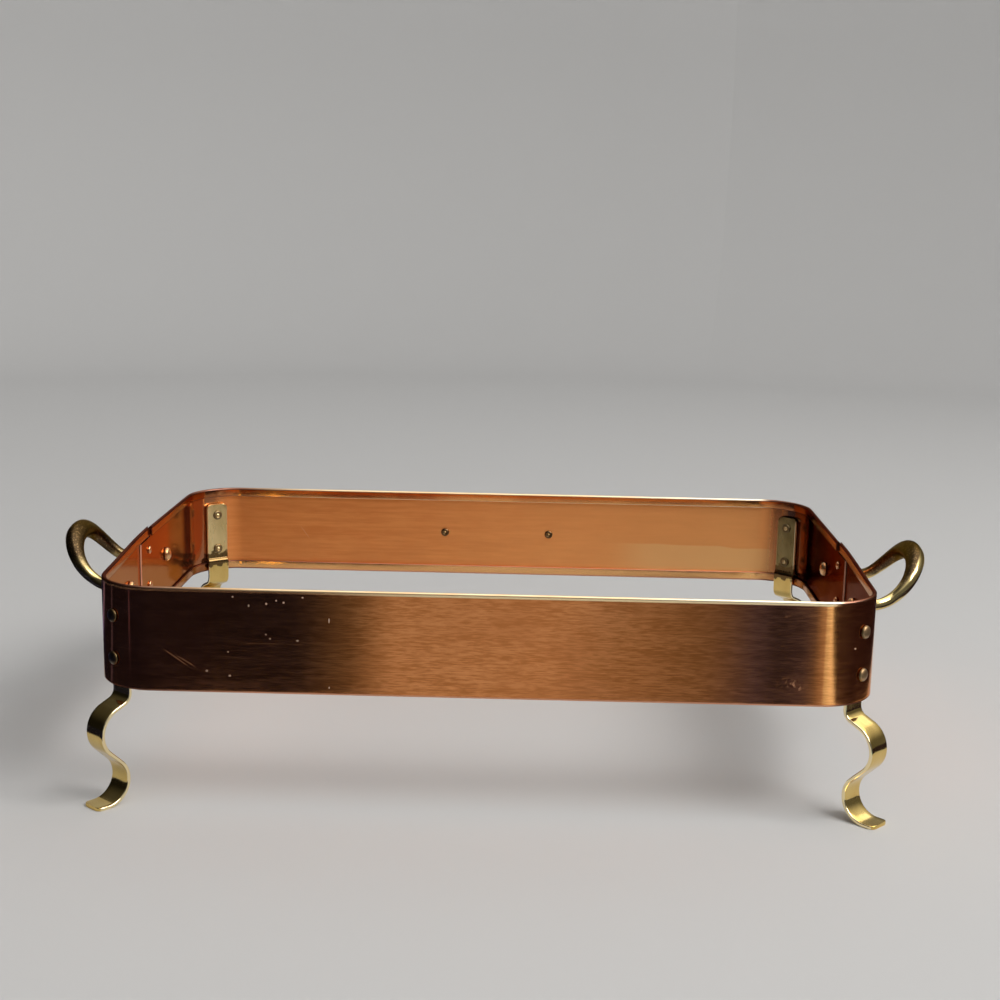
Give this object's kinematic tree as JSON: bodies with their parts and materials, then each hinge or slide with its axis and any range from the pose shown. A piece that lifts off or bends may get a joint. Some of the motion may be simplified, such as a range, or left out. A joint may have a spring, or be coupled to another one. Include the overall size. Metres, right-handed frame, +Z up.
{
  "type": "casserole dish stand",
  "caption": "Rectangular serving stand for a baking dish: a riveted copper band with folded edges, brass S-shaped strap legs and cast brass loop handles on its ends.",
  "frame": {"origin": "on the table, below the middle of the band; the outline's own middle lies about 1 mm behind it, because the hand-bent legs differ", "axes": "+X to the right along the stand's length, towards the right handle; +Y to the rear wall, away from the viewer; +Z up"},
  "size_m": [0.4252, 0.2431, 0.1029],
  "materials": {
    "band_copper": "copper sheet, satin outside with fine level brushing, polished inside",
    "leg_brass": "polished flat brass strap",
    "leg_rivet_brass": "hammered brass rivet, lightly tarnished",
    "handle_brass": "cast brass, dark brown patina worn golden where it is gripped",
    "handle_rivet_copper": "polished copper rivet",
    "lap_rivet_copper": "satin copper rivet",
    "rear_wall_rivet_brass": "tarnished brass rivet"
  },
  "bodies": {
    "root": {"front_band": "band_copper", "rear_band": "band_copper", "leg_front_left": "leg_brass", "leg_front_right": "leg_brass", "leg_rear_left": "leg_brass", "leg_rear_right": "leg_brass", "leg_rivet_front_left_upper": "leg_rivet_brass", "leg_rivet_front_left_lower": "leg_rivet_brass", "leg_rivet_front_right_upper": "leg_rivet_brass", "leg_rivet_front_right_lower": "leg_rivet_brass", "leg_rivet_rear_left_upper": "leg_rivet_brass", "leg_rivet_rear_left_lower": "leg_rivet_brass", "leg_rivet_rear_right_upper": "leg_rivet_brass", "leg_rivet_rear_right_lower": "leg_rivet_brass", "handle_left": "handle_brass", "handle_right": "handle_brass", "handle_rivet_left_front": "handle_rivet_copper", "handle_rivet_left_rear": "handle_rivet_copper", "handle_rivet_right_front": "handle_rivet_copper", "handle_rivet_right_rear": "handle_rivet_copper", "lap_rivet_left_upper": "lap_rivet_copper", "lap_rivet_left_lower": "lap_rivet_copper", "lap_rivet_right_upper": "lap_rivet_copper", "lap_rivet_right_lower": "lap_rivet_copper", "rear_wall_rivet_left": "rear_wall_rivet_brass", "rear_wall_rivet_right": "rear_wall_rivet_brass"}
  },
  "joints": []
}
